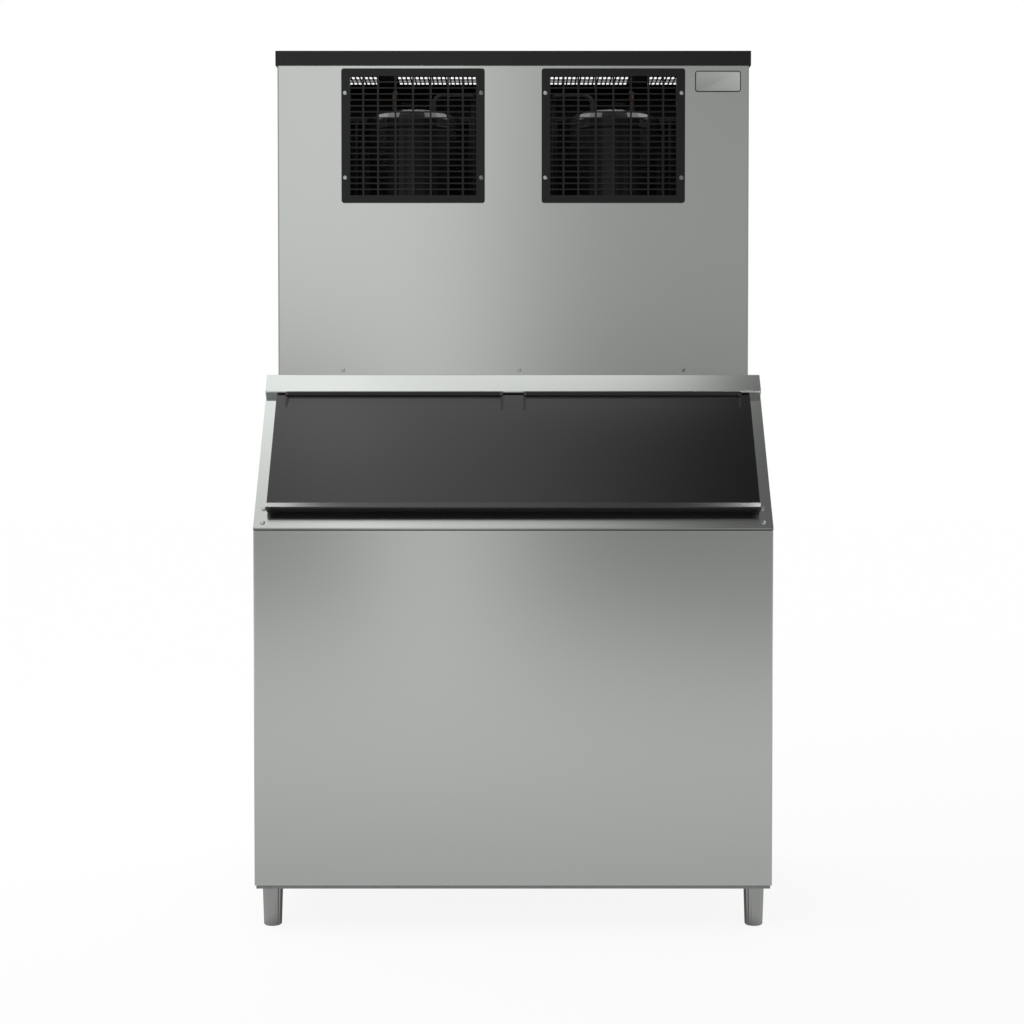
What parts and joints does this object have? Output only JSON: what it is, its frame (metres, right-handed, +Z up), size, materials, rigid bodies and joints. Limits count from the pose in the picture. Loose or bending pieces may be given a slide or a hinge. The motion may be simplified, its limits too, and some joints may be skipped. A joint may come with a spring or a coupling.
{
  "type": "ice machine",
  "caption": "Modular ice machine: a stainless ice-making head with slatted grilles on a sloping storage bin with a lift-up black door and fluted levelling legs",
  "frame": {"origin": "on the floor, under the middle of the bin", "axes": "X along the width, -Y the front, +Z up"},
  "size_m": [1.22, 0.864, 2.121],
  "materials": {
    "brushed_stainless": "brushed stainless sheet, grain along the width",
    "galvanised_steel": "zinc-coated sheet",
    "black_plastic": "moulded black plastic, satin",
    "door_plastic": "moulded black plastic, semi-gloss",
    "liner_polyethylene": "white food-grade polyethylene",
    "insulating_foam": "rigid polyurethane foam",
    "seal_rubber": "soft black seal",
    "leg_metal": "satin grey fluted leg",
    "compressor_enamel": "black enamel",
    "fin_aluminium": "plain fins",
    "copper_pipe": "bright copper tube",
    "brass_fitting": "turned brass",
    "nickel_plate": "nickel-plated copper",
    "curtain_plastic": "translucent moulded plastic"
  },
  "bodies": {
    "cabinet": {"bin_front_panel": "brushed_stainless", "bin_side_left": "brushed_stainless", "bin_side_right": "brushed_stainless", "bin_rear_panel": "brushed_stainless", "bin_top_deck": "brushed_stainless", "hood_frame": "brushed_stainless", "hood_top_rail": "brushed_stainless", "head_front_panel": "brushed_stainless", "head_side_left": "brushed_stainless", "head_side_right": "brushed_stainless", "head_rear_panel": "brushed_stainless", "head_base_frame": "brushed_stainless", "bin_base_frame": "galvanised_steel", "mech_deck": "galvanised_steel", "fan_shroud_left": "galvanised_steel", "fan_shroud_right": "galvanised_steel", "control_box": "galvanised_steel", "door_throat": "black_plastic", "hinge_sleeve_left": "black_plastic", "hinge_sleeve_right": "black_plastic", "head_top_cover": "black_plastic", "fan_grille_left": "black_plastic", "fan_grille_right": "black_plastic", "spray_bar": "black_plastic", "water_pump": "black_plastic", "cable_gland": "black_plastic", "bin_liner": "liner_polyethylene", "water_hose": "liner_polyethylene", "bin_insulation": "insulating_foam", "compressor_left": "compressor_enamel", "compressor_right": "compressor_enamel", "fan_motor_left": "compressor_enamel", "fan_motor_right": "compressor_enamel", "condenser_left": "fin_aluminium", "condenser_right": "fin_aluminium", "discharge_pipe_left": "copper_pipe", "discharge_pipe_right": "copper_pipe", "suction_pipe_left": "copper_pipe", "suction_pipe_right": "copper_pipe", "bin_drain": "brass_fitting", "water_inlet": "brass_fitting", "head_drain": "brass_fitting", "evaporator_left": "nickel_plate", "evaporator_right": "nickel_plate", "water_trough": "curtain_plastic"},
    "door": {"door_panel": "door_plastic", "door_handle_lip": "door_plastic", "door_inner_pan": "liner_polyethylene", "door_gasket": "seal_rubber", "hinge_pin_left": "brushed_stainless", "hinge_pin_right": "brushed_stainless"},
    "fan_rotor_left": {"fan_left": "black_plastic"},
    "fan_rotor_right": {"fan_right": "black_plastic"},
    "curtain_left": {"ice_curtain_left": "curtain_plastic"},
    "curtain_right": {"ice_curtain_right": "curtain_plastic"},
    "foot_front_left": {"leg_front_left": "leg_metal"},
    "foot_front_right": {"leg_front_right": "leg_metal"},
    "foot_rear_left": {"leg_rear_left": "leg_metal"},
    "foot_rear_right": {"leg_rear_right": "leg_metal"}
  },
  "joints": [
    {"name": "door_hinge", "type": "hinge", "parent": "cabinet", "child": "door", "pos_m": [0, -0.22431, 1.2692], "axis": [-1, 0, 0], "range_deg": [0, 155]},
    {"name": "fan_spin_left", "type": "hinge", "parent": "cabinet", "child": "fan_rotor_left", "pos_m": [-0.255, 0.2943, 1.8738], "axis": [0, 1, 0], "continuous": true},
    {"name": "fan_spin_right", "type": "hinge", "parent": "cabinet", "child": "fan_rotor_right", "pos_m": [0.255, 0.2943, 1.8738], "axis": [0, 1, 0], "continuous": true},
    {"name": "curtain_swing_left", "type": "hinge", "parent": "cabinet", "child": "curtain_left", "pos_m": [-0.255, 0.064, 1.6723], "axis": [-1, 0, 0], "range_deg": [0, 40]},
    {"name": "curtain_swing_right", "type": "hinge", "parent": "cabinet", "child": "curtain_right", "pos_m": [0.255, 0.064, 1.6723], "axis": [-1, 0, 0], "range_deg": [0, 40]},
    {"name": "foot_screw_front_left", "type": "slide", "parent": "cabinet", "child": "foot_front_left", "axis": [0, 0, -1], "range_m": [0, 0.022]},
    {"name": "foot_screw_front_right", "type": "slide", "parent": "cabinet", "child": "foot_front_right", "axis": [0, 0, -1], "range_m": [0, 0.022]},
    {"name": "foot_screw_rear_left", "type": "slide", "parent": "cabinet", "child": "foot_rear_left", "axis": [0, 0, -1], "range_m": [0, 0.022]},
    {"name": "foot_screw_rear_right", "type": "slide", "parent": "cabinet", "child": "foot_rear_right", "axis": [0, 0, -1], "range_m": [0, 0.022]}
  ]
}
